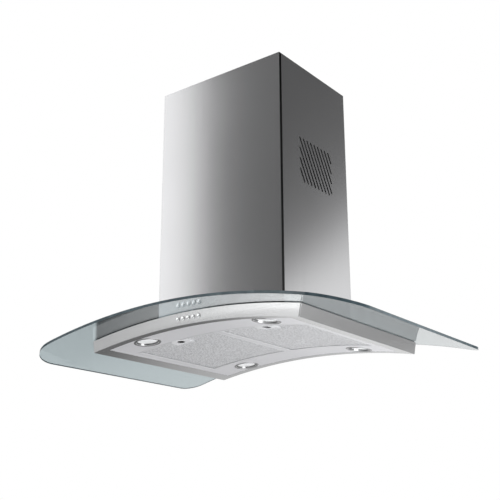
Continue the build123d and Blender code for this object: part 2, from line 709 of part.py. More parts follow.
with BuildPart() as fan_inlet_ring:
    volute(scroll_wall, (mouth_y, -outlet_half_y))
    with BuildSketch(Plane.YZ.offset(fan_x)):
        with BuildLine():
            throat = (mouth_y, fan_z + inlet_radius)
            lip = (mouth_y - inlet_flare, fan_z + inlet_radius + inlet_flare)
            back = sqrt(2) * scroll_wall
            Polyline(throat, lip, (lip[0], lip[1] + back), (throat[0], throat[1] + back), close=True)
        make_face()
    revolve(axis=Axis((fan_x, 0, fan_z), (0, 1, 0)))
    disc(fan_axis, inlet_radius, mouth_y, 0, mode=Mode.SUBTRACT)
save(fan_inlet_ring, "fan_inlet_ring")

wheel_half = outlet_half_y - wheel_gap
blade_middle = wheel_radius - blade_deep / 2
blade_half = blade_deep / 2 - blade_edge
with BuildSketch() as blade:
    with BuildLine():
        front = ThreePointArc((-blade_half, 0), (blade_half / 2, blade_sweep / 4), (blade_half, blade_sweep))
        back = ThreePointArc((-blade_half, blade_thick), (blade_half / 2, blade_sweep / 4 + blade_thick),
                             (blade_half - blade_thick, blade_sweep))
        Line(front @ 0, back @ 0)
        Line(front @ 1, back @ 1)
    make_face()
with BuildPart() as fan_impeller:
    disc(fan_axis, wheel_radius, wheel_half - wheel_plate, wheel_half)
    disc(fan_axis, wheel_hub, 0, wheel_half)
    disc(fan_axis, shaft_radius, 0, wheel_half, mode=Mode.SUBTRACT)
save(fan_impeller, "fan_impeller")

with BuildPart() as fan_wheel_ring:
    ring(fan_axis, wheel_radius, wheel_radius - blade_deep, -wheel_half, wheel_plate - wheel_half)
save(fan_wheel_ring, "fan_wheel_ring")

with BuildPart() as fan_blades:
    with BuildSketch(fan_axis.offset(wheel_plate - wheel_half)):
        with PolarLocations(blade_middle, blade_count):
            add(blade.sketch)
    extrude(amount=2 * (wheel_half - wheel_plate))
save(fan_blades, "fan_blades")

motor_low = scroll_depth / 2 + motor_standoff
motor_high = motor_low + motor_long
with BuildPart() as fan_shaft:
    disc(fan_axis, shaft_radius, 0, motor_high)
save(fan_shaft, "fan_shaft")

with BuildPart() as fan_motor:
    disc(fan_axis, motor_radius, motor_low, motor_high)
    chamfer(fan_motor.edges().filter_by(GeomType.CIRCLE), length=motor_standoff)
    disc(fan_axis, motor_boss, motor_low - motor_standoff / 2, motor_high + motor_standoff / 2)
    disc(fan_axis, shaft_radius + bearing_gap, motor_low - motor_standoff, motor_high + seat_gap,
         mode=Mode.SUBTRACT)
save(fan_motor, "fan_motor")

arm_outer = motor_radius + bracket_reach
arm_plate = motor_low + motor_long / 2
with BuildPart() as motor_bracket:
    ring(fan_axis, motor_radius + bracket_wall, motor_radius, arm_plate - bracket_wide / 2,
         arm_plate + bracket_wide / 2)
    with BuildSketch(fan_axis.offset(arm_plate - bracket_wide / 2)):
        with PolarLocations((motor_radius + arm_outer) / 2 + bracket_wall / 2, bracket_arms):
            Rectangle(bracket_reach - bracket_wall / 2, bracket_wide)
    extrude(amount=bracket_wall)
    with BuildSketch(fan_axis.offset(scroll_depth / 2)):
        with PolarLocations(arm_outer, bracket_arms):
            Rectangle(bracket_wall, bracket_wide)
    extrude(amount=arm_plate - bracket_wide / 2 + bracket_wall - scroll_depth / 2)
save(motor_bracket, "motor_bracket")

# ---- On the blower box: outlet collar with its two flaps, capacitor and transformer --------------
collar_line = Plane.XY.offset(box_top)
pin_z = box_top + flap_height
with BuildPart() as outlet_collar:
    ring(collar_line, collar_radius, collar_radius - collar_wall, 0, collar_tall)
    ring(collar_line, collar_radius + collar_flange, collar_radius - collar_wall, 0, collar_wall)
    ledge_top = flap_height - flap_thick / 2 - seat_gap
    ring(collar_line, collar_radius - collar_wall / 2, collar_radius - collar_wall - collar_ledge,
         ledge_top - collar_wall, ledge_top)
    with BuildSketch(Plane.XZ):
        with Locations((0, pin_z)):
            Circle(flap_pin_radius)
    extrude(amount=2 * collar_radius, both=True, mode=Mode.SUBTRACT)
save(outlet_collar, "outlet_collar")

pin_line = Plane(origin=(0, 0, pin_z), x_dir=(1, 0, 0), z_dir=(0, 1, 0))
with BuildPart() as flap_pin:
    disc(pin_line, flap_pin_radius, -collar_radius, collar_radius)
save(flap_pin, "flap_pin")

flap_radius = collar_radius - collar_wall - flap_gap
knuckles = {
    "left": ((-knuckle_end, -knuckle_split), (knuckle_split, knuckle_end)),
    "right": ((knuckle_gap - knuckle_split, knuckle_split - knuckle_gap),),
}
for side_name, side in sides.items():
    with BuildPart() as flap:
        with BuildSketch(Plane.XY.offset(pin_z - flap_thick / 2)):
            Circle(flap_radius)
            with Locations((side * flap_start, 0)):
                Rectangle(2 * flap_radius, 2 * flap_radius, mode=Mode.SUBTRACT,
                          align=(Align.MAX if side > 0 else Align.MIN, Align.CENTER))
            for low, high in knuckles[side_name]:
                with Locations((side * flap_start / 2, (low + high) / 2)):
                    Rectangle(flap_start, high - low)
        extrude(amount=flap_thick)
        for low, high in knuckles[side_name]:
            disc(pin_line, knuckle_radius, low, high)
        disc(pin_line, flap_pin_radius + pin_gap, -flap_radius, flap_radius, mode=Mode.SUBTRACT)
    save(flap, f"flap_{side_name}")

with BuildPart() as motor_capacitor:
    with Locations((-(box_half_x - top_inset - capacitor_radius), -(box_half_y - top_inset - capacitor_radius),
                    box_top)):
        Cylinder(capacitor_radius, capacitor_tall, align=(Align.CENTER, Align.CENTER, Align.MIN))
save(motor_capacitor, "motor_capacitor")

with BuildPart() as lamp_transformer:
    with Locations((-(box_half_x - top_inset), box_half_y - top_inset, box_top)):
        Box(transformer_wide, transformer_deep, transformer_tall, align=(Align.MIN, Align.MAX, Align.MIN))
save(lamp_transformer, "lamp_transformer")

with BuildPart() as control_box:
    control_top = apex_z + control_floor + control_tall
    with Locations((0, -box_half_y, apex_z + control_floor)):
        Box(control_wide, control_deep, control_tall, align=(Align.CENTER, Align.MAX, Align.MIN))
    gland = Plane.XY.offset(control_top)
    with BuildSketch(gland):
        with Locations((gland_x, gland_y)):
            Circle(gland_radius)
    extrude(amount=gland_tall)
    with BuildSketch(gland.offset(gland_tall)):
        with Locations((gland_x, gland_y)):
            Circle(gland_bore)
    extrude(amount=-2 * gland_tall, mode=Mode.SUBTRACT)
save(control_box, "control_box")
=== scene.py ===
import json
from math import cos, pi, radians, sin, sqrt

import bmesh
import bpy
from mathutils import Matrix, Vector


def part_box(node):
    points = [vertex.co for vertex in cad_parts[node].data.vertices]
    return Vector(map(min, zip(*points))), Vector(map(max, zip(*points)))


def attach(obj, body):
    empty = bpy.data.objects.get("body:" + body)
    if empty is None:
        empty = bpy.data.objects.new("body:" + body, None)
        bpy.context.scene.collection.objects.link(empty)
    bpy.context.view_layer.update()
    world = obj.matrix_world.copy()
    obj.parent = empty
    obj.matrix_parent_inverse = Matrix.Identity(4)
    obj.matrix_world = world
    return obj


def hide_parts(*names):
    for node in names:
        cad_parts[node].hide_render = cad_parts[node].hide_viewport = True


# Looks of the curved glass range hood, in metres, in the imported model's frame:
# +Z up, X across the hood, -Y towards its front.

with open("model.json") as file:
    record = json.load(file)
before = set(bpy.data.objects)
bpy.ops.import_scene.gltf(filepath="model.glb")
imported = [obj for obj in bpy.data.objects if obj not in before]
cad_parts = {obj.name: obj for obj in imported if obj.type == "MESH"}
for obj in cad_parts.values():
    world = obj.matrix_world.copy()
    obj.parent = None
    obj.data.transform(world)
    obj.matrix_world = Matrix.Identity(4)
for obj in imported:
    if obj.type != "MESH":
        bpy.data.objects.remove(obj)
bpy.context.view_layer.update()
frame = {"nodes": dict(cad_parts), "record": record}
nodes = frame["nodes"]
scene = bpy.context.scene
scene.view_settings.view_transform = "Standard"

TINY = 1e-7             # shorter than this is nothing

# ---- The arch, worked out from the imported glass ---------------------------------
GLASS_THICK = 0.006
glass_low, glass_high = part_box("glass_canopy")
apex_z = glass_high.z - GLASS_THICK
sagitta = apex_z - glass_low.z
arch_radius = (glass_high.x**2 + sagitta**2) / (2 * sagitta)
axis_z = apex_z - arch_radius


def height_at(x, radius):
    """Height of one of the arch's arcs at x."""
    return axis_z + sqrt(radius**2 - x**2)


def out_of_arch(point):
    """Unit vector from the arch's axis towards a point."""
    return Vector((point.x, 0, point.z - axis_z)).normalized()


def seat_on_arch(centre):
    """Frame at a point of the arch: Z out from the arch's axis, X along the hood's depth."""
    outward = out_of_arch(centre)
    depth = Vector((0, 1, 0))
    across = outward.cross(depth)
    turn = Matrix((depth, across, outward)).transposed().to_4x4()
    return Matrix.Translation(centre) @ turn


def middle(node):
    """Centre of a node's box."""
    low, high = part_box(node)
    return (low + high) / 2


def low_radius(node):
    """Radius of the arc that a bent node's underside follows."""
    low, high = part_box(node)
    reach = max(abs(low.x), abs(high.x))
    return sqrt((low.z - axis_z) ** 2 + reach**2)


# ---- Node helpers ----------------------------------------------------------------
def add(tree, kind, inputs=None, **settings):
    """New shader node; inputs are values or the sockets that feed them."""
    node = tree.nodes.new(kind)
    for name, value in settings.items():
        setattr(node, name, value)
    for name, value in (inputs or {}).items():
        if isinstance(value, bpy.types.NodeSocket):
            tree.links.new(value, node.inputs[name])
        else:
            node.inputs[name].default_value = value
    return node


def new_material(name, **values):
    """Material with its main shader's uniform values set on their own sockets."""
    material = bpy.data.materials.new(name)
    material.use_nodes = True
    shader = material.node_tree.nodes["Principled BSDF"]
    for key, value in values.items():
        shader.inputs[key.replace("_", " ")].default_value = value
    return material, material.node_tree, shader


def compute(tree, operation, *values, clamp=False):
    """Result of a calculation on values or sockets."""
    inputs = dict(enumerate(values))
    return add(tree, "ShaderNodeMath", inputs, operation=operation, use_clamp=clamp).outputs[0]


def compute_vector(tree, operation, *vectors):
    """Result of a calculation on vectors or sockets."""
    inputs = dict(enumerate(vectors))
    return add(tree, "ShaderNodeVectorMath", inputs, operation=operation).outputs["Vector"]


def dot(tree, first, second):
    """Dot product of two vectors or sockets."""
    return add(tree, "ShaderNodeVectorMath", {0: first, 1: second}, operation="DOT_PRODUCT").outputs["Value"]


def component(tree, vector, axis):
    """A vector's X, Y or Z."""
    return add(tree, "ShaderNodeSeparateXYZ", {"Vector": vector}).outputs[axis]


def local_point(tree):
    """The shaded point, in its object's own space."""
    return add(tree, "ShaderNodeTexCoord").outputs["Object"]


def stretched(tree, scale):
    """Object coordinates, stretched evenly by a number or along each axis by its own."""
    scales = scale if isinstance(scale, tuple) else (scale, scale, scale)
    return add(tree, "ShaderNodeMapping", {"Vector": local_point(tree), "Scale": scales}).outputs[0]


def noise(tree, scale, detail=2.0):
    """Noise from 0 to 1 on stretched object coordinates."""
    inputs = {"Vector": stretched(tree, scale), "Scale": 1.0, "Detail": detail}
    return add(tree, "ShaderNodeTexNoise", inputs).outputs["Fac"]


def cells(tree, scale, **settings):
    """Outputs of a pattern of uneven cells on stretched object coordinates."""
    inputs = {"Vector": stretched(tree, scale), "Scale": 1.0}
    return add(tree, "ShaderNodeTexVoronoi", inputs, **settings).outputs


def ramp(tree, factor, *stops):
    """Colour ramp; each stop is a position and a grey level or a colour."""
    node = add(tree, "ShaderNodeValToRGB", {"Fac": factor})
    elements = node.color_ramp.elements
    while len(elements) < len(stops):
        elements.new(0.5)
    for element, (position, level) in zip(elements, stops):
        colour = level if isinstance(level, tuple) else (level, level, level)
        element.position = position
        element.color = (*colour, 1)
    return node.outputs["Color"]


def remap(tree, value, low, high):
    """Value from 0..1 to low..high."""
    inputs = {"Value": value, "To Min": low, "To Max": high}
    return add(tree, "ShaderNodeMapRange", inputs).outputs["Result"]


def blend(tree, factor, first, second):
    """Colour mix of two sockets or colours."""
    inputs = {"Factor": factor, "A": first, "B": second}
    return add(tree, "ShaderNodeMix", inputs, data_type="RGBA").outputs[2]


def paint(tree, shader, pattern, *stops):
    """Base colour that follows a pattern through a colour ramp."""
    tree.links.new(ramp(tree, pattern, *stops), shader.inputs["Base Color"])


def shade(colour, factor):
    """Colour made lighter or darker."""
    return tuple(min(1.0, channel * factor) for channel in colour)


def paint_tones(tree, shader, pattern, colour, *stops):
    """Base colour in tones of one colour; each stop is a position and a factor on the colour."""
    paint(tree, shader, pattern, *[(position, shade(colour, factor)) for position, factor in stops])


def roughen(tree, shader, pattern, low, high):
    """Roughness from low to high as a pattern goes from 0 to 1."""
    tree.links.new(remap(tree, pattern, low, high), shader.inputs["Roughness"])


def bump(tree, shader, height, strength, distance):
    """Bump on the shader's normal."""
    inputs = {"Height": height, "Strength": strength, "Distance": distance}
    tree.links.new(add(tree, "ShaderNodeBump", inputs).outputs["Normal"], shader.inputs["Normal"])


# ---- Materials ----------------------------------------------------------------------
FINE = 1400.0           # lines per metre across a brushed finish
SLOW = 6.0              # changes per metre along its lines
UPRIGHT_LINES = (FINE, FINE, SLOW)
DEPTH_LINES = (FINE, SLOW, FINE)
LINE_BUMP, LINE_DEPTH = 0.08, 0.00004
SQUARE_TO = 0.7         # a face is square to an axis if its normal has more than this along it

WHITE = (1, 1, 1, 1)
GLASS_TINT = (0.51, 0.575, 0.595, 1)
GLASS_DEEP = (0.20, 0.60, 0.64, 1)      # colour of light that has run far inside the glass
GLASS_DENSITY = 8.0
GLASS_SHADOW = (0.90, 0.94, 0.93, 1)    # light that falls through the glass on other pieces
GLASS_FACE = 0.85       # the glass's faces look out from the arch's axis at least this squarely


def brushed(name, colour, roughness, grain, streak=0.03, metallic=1.0):
    """Steel brushed along the axes whose grain is SLOW."""
    material, tree, shader = new_material(name, Metallic=metallic)
    lines = noise(tree, grain, detail=3.0)
    cloud = noise(tree, 3.0)
    paint_tones(tree, shader, lines, colour, (0.3, 1 - streak), (0.7, 1 + streak))
    roughen(tree, shader, cloud, roughness - 0.03, roughness + 0.04)
    bump(tree, shader, lines, LINE_BUMP, LINE_DEPTH)
    return material


def across_x(tree, comparison):
    """1 where the surface's normal lies along X (GREATER_THAN) or square to it (LESS_THAN)."""
    normal = add(tree, "ShaderNodeNewGeometry").outputs["True Normal"]
    size = compute(tree, "ABSOLUTE", component(tree, normal, "X"))
    return compute(tree, comparison, size, SQUARE_TO)


def paint_shade_on_edges(material, comparison, reach):
    """Paint shade on the returns or cut edges of a flue sheet, as far as reach from the middle of its depth:
    near-black where shadow would fall.
    """
    tree = material.node_tree
    base = tree.nodes["Principled BSDF"].inputs["Base Color"]
    off_middle = compute(tree, "ABSOLUTE", component(tree, local_point(tree), "Y"))
    inside = compute(tree, "LESS_THAN", off_middle, reach)
    shade_mask = compute(tree, "MULTIPLY", across_x(tree, comparison), inside)
    metal = base.links[0].from_socket
    # Painted shade: near-black for the shadow gap at the cover's returns and the depth of the vents' slots.
    dark = ramp(tree, noise(tree, 200.0), (0.3, 0.02), (0.7, 0.05))
    tree.links.new(blend(tree, shade_mask, metal, dark), base)


def brushed_round_body(name, colour, roughness):
    """Steel brushed along the body's edges: level lines on upright faces, and lines along X below."""
    material, tree, shader = new_material(name, Metallic=1.0)
    upright = noise(tree, (SLOW, SLOW, FINE), detail=3.0)
    level = noise(tree, (SLOW, FINE, SLOW), detail=3.0)
    normal = add(tree, "ShaderNodeNewGeometry").outputs["Normal"]
    facing = compute(tree, "ABSOLUTE", component(tree, normal, "Z"))
    lying = compute(tree, "GREATER_THAN", facing, SQUARE_TO)
    lines = add(tree, "ShaderNodeMix", {"Factor": lying, "A": upright, "B": level}).outputs["Result"]
    paint_tones(tree, shader, lines, colour, (0.3, 0.96), (0.7, 1.04))
    roughen(tree, shader, lines, roughness - 0.03, roughness + 0.03)
    bump(tree, shader, lines, LINE_BUMP, LINE_DEPTH)
    return material


def satin_paint(name, colour, roughness):
    """Fine satin coating with a slight orange peel."""
    material, tree, shader = new_material(name, Metallic=0.35, Specular_IOR_Level=0.5)
    peel = noise(tree, 420.0)
    cloud = noise(tree, 5.0, detail=4.0)
    paint_tones(tree, shader, cloud, colour, (0.3, 0.965), (0.7, 1.03))
    roughen(tree, shader, cloud, roughness - 0.03, roughness + 0.05)
    bump(tree, shader, peel, 0.05, 0.0002)
    return material


def on_edge(tree):
    """1 where the bent glass's surface doesn't face out from the arch's axis."""
    spoke = compute_vector(tree, "SUBTRACT", local_point(tree), (0.0, 0.0, axis_z))
    flat = compute_vector(tree, "MULTIPLY", spoke, (1.0, 0.0, 1.0))
    outward = compute_vector(tree, "NORMALIZE", flat)
    normal = add(tree, "ShaderNodeNewGeometry").outputs["True Normal"]
    facing = compute(tree, "ABSOLUTE", dot(tree, outward, normal))
    return compute(tree, "LESS_THAN", facing, GLASS_FACE)


def glass_edge(tree):
    """Polished edge, where the glass is deep and dark teal."""
    shader = add(tree, "ShaderNodeBsdfPrincipled", {"Roughness": 0.1, "Coat Weight": 0.3})
    depth = noise(tree, 60.0, detail=3.0)
    paint(tree, shader, depth, (0.35, (0.055, 0.085, 0.100)), (0.65, (0.10, 0.145, 0.165)))
    return shader.outputs[0]


def tinted_glass(name):
    """Toughened glass: pale through its faces, dark teal at its edge."""
    material, tree, shader = new_material(name, Transmission_Weight=1.0, Metallic=0.0, IOR=1.5)
    smear = noise(tree, (30.0, 12.0, 30.0), detail=5.0)
    roughen(tree, shader, smear, 0.0, 0.012)
    light = add(tree, "ShaderNodeLightPath")
    shadow = light.outputs["Is Shadow Ray"]
    # Straight shadow rays would run too far in the glass, and metal's mirror image keeps its own grey.
    clear = compute(tree, "MAXIMUM", shadow, light.outputs["Glossy Depth"])
    tree.links.new(blend(tree, clear, GLASS_TINT, WHITE), shader.inputs["Base Color"])
    density = remap(tree, clear, GLASS_DENSITY, 0.0)
    absorb = add(tree, "ShaderNodeVolumeAbsorption", {"Color": GLASS_DEEP, "Density": density})
    through = add(tree, "ShaderNodeBsdfTransparent", {"Color": GLASS_SHADOW})
    seen = add(tree, "ShaderNodeMixShader", {0: on_edge(tree), 1: shader.outputs[0], 2: glass_edge(tree)})
    both = add(tree, "ShaderNodeMixShader", {0: shadow, 1: seen.outputs[0], 2: through.outputs[0]})
    output = tree.nodes["Material Output"]
    tree.links.new(absorb.outputs[0], output.inputs["Volume"])
    tree.links.new(both.outputs[0], output.inputs["Surface"])
    return material


def chrome(name, tone=1.0):
    """Polished chrome with faint polishing marks; a lower tone paints it darker, as painted shade in what it
    mirrors.
    """
    material, tree, shader = new_material(name, Metallic=1.0)
    marks = noise(tree, 900.0, detail=4.0)
    dull = shade((0.80, 0.81, 0.82), tone)
    bright = shade((0.88, 0.89, 0.90), tone)
    paint(tree, shader, marks, (0.35, dull), (0.65, bright))
    roughen(tree, shader, marks, 0.07, 0.16)
    return material


def spangled(name, colour):
    """Zinc coated sheet with its crystal spangle."""
    material, tree, shader = new_material(name, Metallic=0.9)
    crystals = cells(tree, 90.0, distance="CHEBYCHEV")["Color"]
    level = add(tree, "ShaderNodeSeparateColor", {"Color": crystals}).outputs[0]
    paint_tones(tree, shader, level, colour, (0.0, 0.82), (1.0, 1.12))
    roughen(tree, shader, level, 0.32, 0.52)
    bump(tree, shader, noise(tree, 300.0), 0.08, 0.0003)
    return material


def pleated(name, colour):
    """Inner layers of the filter: crossed strands that let little light through."""
    material, tree, shader = new_material(name, Metallic=0.5)
    depth = cells(tree, (230.0, 400.0, 230.0))["Distance"]
    paint_tones(tree, shader, depth, colour, (0.10, 1.1), (0.65, 0.7))
    roughen(tree, shader, depth, 0.35, 0.6)
    bump(tree, shader, depth, 0.6, 0.0008)
    return material


def expanded(name, colour):
    """Expanded aluminium: strands uneven in tone where the sheet was slit and drawn."""
    material, tree, shader = new_material(name, Metallic=0.5)
    dents = noise(tree, (260.0, 300.0, 260.0), detail=1.0)
    paint_tones(tree, shader, dents, colour, (0.38, 0.74), (0.62, 1.12))
    roughen(tree, shader, dents, 0.28, 0.42)
    bump(tree, shader, noise(tree, 1500.0), 0.1, 0.0001)
    return material


def moulded(name, colour, roughness):
    """Moulded plastic with a spark-eroded grain."""
    material, tree, shader = new_material(name, Specular_IOR_Level=0.45)
    pits = noise(tree, 900.0, detail=3.0)
    cloud = noise(tree, 14.0, detail=3.0)
    paint_tones(tree, shader, cloud, colour, (0.3, 0.88), (0.7, 1.12))
    roughen(tree, shader, pits, roughness - 0.08, roughness + 0.1)
    bump(tree, shader, pits, 0.12, 0.0003)
    return material


def enamel(name, colour):
    """Smooth baked enamel."""
    material, tree, shader = new_material(name, Coat_Weight=0.4, Coat_Roughness=0.12)
    cloud = noise(tree, 20.0, detail=4.0)
    paint_tones(tree, shader, cloud, colour, (0.3, 0.93), (0.7, 1.05))
    roughen(tree, shader, cloud, 0.3, 0.42)
    bump(tree, shader, noise(tree, 500.0), 0.06, 0.0002)
    return material


def foam(name):
    """Closed-cell black foam."""
    material, tree, shader = new_material(name)
    depth = cells(tree, 900.0)["Distance"]
    paint(tree, shader, depth, (0.0, 0.008), (0.8, 0.03))
    roughen(tree, shader, depth, 0.75, 0.95)
    bump(tree, shader, depth, 0.3, 0.0004)
    return material


def lamp_glass_material(name):
    """Pressed frosted glass, softly lit from behind."""
    material, tree, shader = new_material(name, Transmission_Weight=0.3, IOR=1.45, Emission_Strength=0.12,
                                          Emission_Color=(1.0, 0.985, 0.96, 1))
    frost = noise(tree, 700.0, detail=3.0)
    paint(tree, shader, frost, (0.3, (0.88, 0.90, 0.92)), (0.7, (0.98, 0.99, 1.0)))
    roughen(tree, shader, frost, 0.22, 0.4)
    bump(tree, shader, frost, 0.15, 0.0002)
    return material


STEEL = (0.70, 0.70, 0.71)
WHOLE_DEPTH = 1.0       # farther than any sheet reaches
VENT_REACH = 0.09       # the vents' slots lie within this of the middle of the flue's depth

steel = brushed("brushed_steel", STEEL, 0.21, UPRIGHT_LINES)
side_steel = brushed("side_steel", STEEL, 0.15, UPRIGHT_LINES)
cover_steel = brushed("cover_steel", STEEL, 0.21, UPRIGHT_LINES)
inner_steel = brushed("inner_steel", (0.62, 0.63, 0.64), 0.30, UPRIGHT_LINES)
paint_shade_on_edges(cover_steel, "GREATER_THAN", WHOLE_DEPTH)      # painted shadow gap on its narrow side returns
paint_shade_on_edges(side_steel, "LESS_THAN", VENT_REACH)           # painted shade on the vents' cut edges
# painted shade on the inner sleeve's vent edges too
paint_shade_on_edges(inner_steel, "LESS_THAN", VENT_REACH)
body_steel = brushed_round_body("body_steel", (0.72, 0.725, 0.73), 0.20)
panel_satin = satin_paint("panel_satin", (0.74, 0.74, 0.76), 0.38)
canopy_glass = tinted_glass("canopy_glass")
gasket_rubber = foam("gasket_rubber")
bright_chrome = chrome("chrome")
# Painted shade: the lamps' chrome is a darker copy of the chrome, for darker reflections in the bezels.
shaded_lamp_chrome = chrome("shaded_lamp_chrome", 0.42)
lamp_glass = lamp_glass_material("lamp_glass")
frame_aluminium = brushed("frame_aluminium", (0.84, 0.845, 0.86), 0.36, DEPTH_LINES, streak=0.05,
                          metallic=0.5)
mesh_aluminium = expanded("mesh_aluminium", (0.79, 0.795, 0.81))
backing_aluminium = pleated("backing_aluminium", (0.80, 0.81, 0.83))
galvanised = spangled("galvanised", (0.58, 0.60, 0.62))
zinc = brushed("zinc_screw", (0.62, 0.62, 0.60), 0.3, UPRIGHT_LINES, streak=0.1)
white_can = enamel("white_can", (0.80, 0.80, 0.78))
black_plastic = moulded("black_plastic", (0.028, 0.028, 0.03), 0.45)
latch_plastic = moulded("latch_plastic", (0.72, 0.725, 0.735), 0.36)
fan_plastic = moulded("fan_plastic", (0.70, 0.71, 0.70), 0.5)
motor_paint = enamel("motor_paint", (0.05, 0.052, 0.055))
shaft_steel = brushed("shaft_steel", (0.60, 0.60, 0.60), 0.2, DEPTH_LINES)

SLOT_MATERIALS = {
    "brushed_steel": steel,
    "inner_steel": inner_steel,
    "panel_satin": panel_satin,
    "canopy_glass": canopy_glass,
    "gasket_rubber": gasket_rubber,
    "chrome": bright_chrome,
    "lamp_glass": lamp_glass,
    "filter_aluminium": mesh_aluminium,
    "frame_aluminium": frame_aluminium,
    "galvanised": galvanised,
    "zinc_screw": zinc,
    "white_can": white_can,
    "black_plastic": black_plastic,
    "fan_plastic": fan_plastic,
    "motor_paint": motor_paint,
    "shaft_steel": shaft_steel,
    "latch_grey": latch_plastic,
}
OWN_MATERIALS = {
    "body_shell": body_steel,
    "flue_rear_shell": side_steel,
    "flue_front_cover": cover_steel,
}


def dress(obj, material):
    """Give an object one material."""
    obj.data.materials.clear()
    obj.data.materials.append(material)


for part in frame["record"]["subparts"]:
    node_name = part["node"]
    dress(nodes[node_name], OWN_MATERIALS.get(node_name, SLOT_MATERIALS[part["material_slot"]]))


# ---- Mesh helpers ------------------------------------------------------------------
PLATE_STEP = 0.010      # widest strip of a bent plate
BENT_SHARP = 25         # a bent plate's edges are sharp where they turn more than this, in degrees
ARRIS_SHARP = 35        # and get an arris where they turn more than this


def object_of(mesh, material, sharp):
    """Object of a mesh, shaded smooth but for edges that turn more than sharp degrees."""
    mesh.shade_smooth()
    mesh.set_sharp_from_angle(angle=radians(sharp))
    obj = bpy.data.objects.new(mesh.name, mesh)
    scene.collection.objects.link(obj)
    dress(obj, material)
    return obj


def mesh_object(name, vertices, faces, material, sharp=40):
    """Object made of vertices and faces."""
    mesh = bpy.data.meshes.new(name)
    mesh.from_pydata(vertices, [], faces)
    mesh.validate()
    return object_of(mesh, material, sharp)


def lathe(name, profile, matrix, material, segments, sharp):
    """Shape turned about the matrix's Z; profile is radius and height, closed or from axis to axis."""
    vertices, faces, rings = [], [], []
    for radius, height in profile:
        if radius < TINY:
            rings.append([len(vertices)])
            vertices.append(matrix @ Vector((0, 0, height)))
        else:
            rings.append(list(range(len(vertices), len(vertices) + segments)))
            for step in range(segments):
                angle = 2 * pi * step / segments
                vertices.append(matrix @ Vector((radius * cos(angle), radius * sin(angle), height)))
    for first, second in zip(rings, rings[1:]):
        for step in range(segments):
            after = (step + 1) % segments
            corners = [first[step % len(first)], first[after % len(first)],
                       second[after % len(second)], second[step % len(second)]]
            faces.append(list(dict.fromkeys(corners)))
    return mesh_object(name, vertices, faces, material, sharp)


def fill_outline(bm, outline, holes):
    """Flat faces between an outline and its holes."""
    rims = []
    for loop in [outline, *holes]:
        corners = [bm.verts.new((x, y, 0)) for x, y in loop]
        rims += [bm.edges.new((corners[i - 1], corners[i])) for i in range(len(corners))]
    bmesh.ops.triangle_fill(bm, use_beauty=True, use_dissolve=True, edges=rims)


def cut_into_strips(bm, outline):
    """Cut flat faces square to X, so that they can be bent smoothly, and turn them all down."""
    left = min(x for x, y in outline)
    right = max(x for x, y in outline)
    strips = round((right - left) / PLATE_STEP)
    for cut in range(1, strips):
        everything = bm.verts[:] + bm.edges[:] + bm.faces[:]
        x = left + cut * (right - left) / strips
        bmesh.ops.bisect_plane(bm, geom=everything, dist=TINY, plane_co=(x, 0, 0), plane_no=(1, 0, 0))
    bmesh.ops.recalc_face_normals(bm, faces=bm.faces)
    if sum(face.normal.z for face in bm.faces) > 0:
        bmesh.ops.reverse_faces(bm, faces=bm.faces)


def solid_of_arch(name, outline, holes, radius, thick, material, arris=0.0):
    """Bent plate with an outline and holes given in plan; radius is its underside's."""
    bm = bmesh.new()
    fill_outline(bm, outline, holes)
    cut_into_strips(bm, outline)
    grown = bmesh.ops.extrude_face_region(bm, geom=bm.faces[:])
    upper = {item for item in grown["geom"] if isinstance(item, bmesh.types.BMVert)}
    for vertex in bm.verts:
        vertex.co.z = height_at(vertex.co.x, radius + thick if vertex in upper else radius)
    bmesh.ops.recalc_face_normals(bm, faces=bm.faces)
    mesh = bpy.data.meshes.new(name)
    bm.to_mesh(mesh)
    bm.free()
    obj = object_of(mesh, material, BENT_SHARP)
    if arris:
        bevel = obj.modifiers.new("arris", "BEVEL")
        bevel.width, bevel.segments = arris, 2
        bevel.limit_method, bevel.angle_limit = "ANGLE", radians(ARRIS_SHARP)
    return obj


def rounded_corner(centre, radius, start, steps=14):
    """Points of a quarter turn about a corner's centre."""
    turns = [radians(start + 90 * step / steps) for step in range(steps + 1)]
    return [(centre[0] + radius * cos(turn), centre[1] + radius * sin(turn)) for turn in turns]


# ---- Camera ----------------------------------------------------------------------
# Found from the photograph's outline: the hood is seen from below, in front and to its right.
IMAGE_WIDE = 500
FOCAL_PIXELS = 904.41
SENSOR = 36.0           # millimetres
CAMERA_FROM_APEX = Vector((1.2764, -1.6844, -0.4785))
YAW, PITCH, ROLL = radians(37.48), radians(17.82), radians(-0.19)

camera = bpy.data.objects.new("camera", bpy.data.cameras.new("camera"))
scene.collection.objects.link(camera)
scene.camera = camera
camera.data.sensor_width = SENSOR
camera.data.lens = SENSOR * FOCAL_PIXELS / IMAGE_WIDE
aim = Matrix.Rotation(YAW, 4, "Z") @ Matrix.Rotation(pi / 2 + PITCH, 4, "X") @ Matrix.Rotation(ROLL, 4, "Z")
camera.matrix_world = Matrix.Translation(CAMERA_FROM_APEX + Vector((0, 0, apex_z))) @ aim

# ---- Glass canopy: bent plate with rounded corners, cut-out and polished arris -----------
FRONT_CORNER, BACK_CORNER = 0.095, 0.045
CUTOUT_GAP = 0.0014         # round the lower rails
FIXING_HOLE = 0.004
FIXING_CAP = 0.011          # radius of a fixing's cap
HOLE_POINTS = 20
EDGE_POLISH = 0.0009


def glass_outline():
    """The glass seen from above, anticlockwise from its front right corner."""
    wide, front, back = glass_high.x, glass_low.y, glass_high.y
    points = rounded_corner((wide - FRONT_CORNER, front + FRONT_CORNER), FRONT_CORNER, 270)
    points += rounded_corner((wide - BACK_CORNER, back - BACK_CORNER), BACK_CORNER, 0)
    points += rounded_corner((-wide + BACK_CORNER, back - BACK_CORNER), BACK_CORNER, 90)
    points += rounded_corner((-wide + FRONT_CORNER, front + FRONT_CORNER), FRONT_CORNER, 180)
    return points


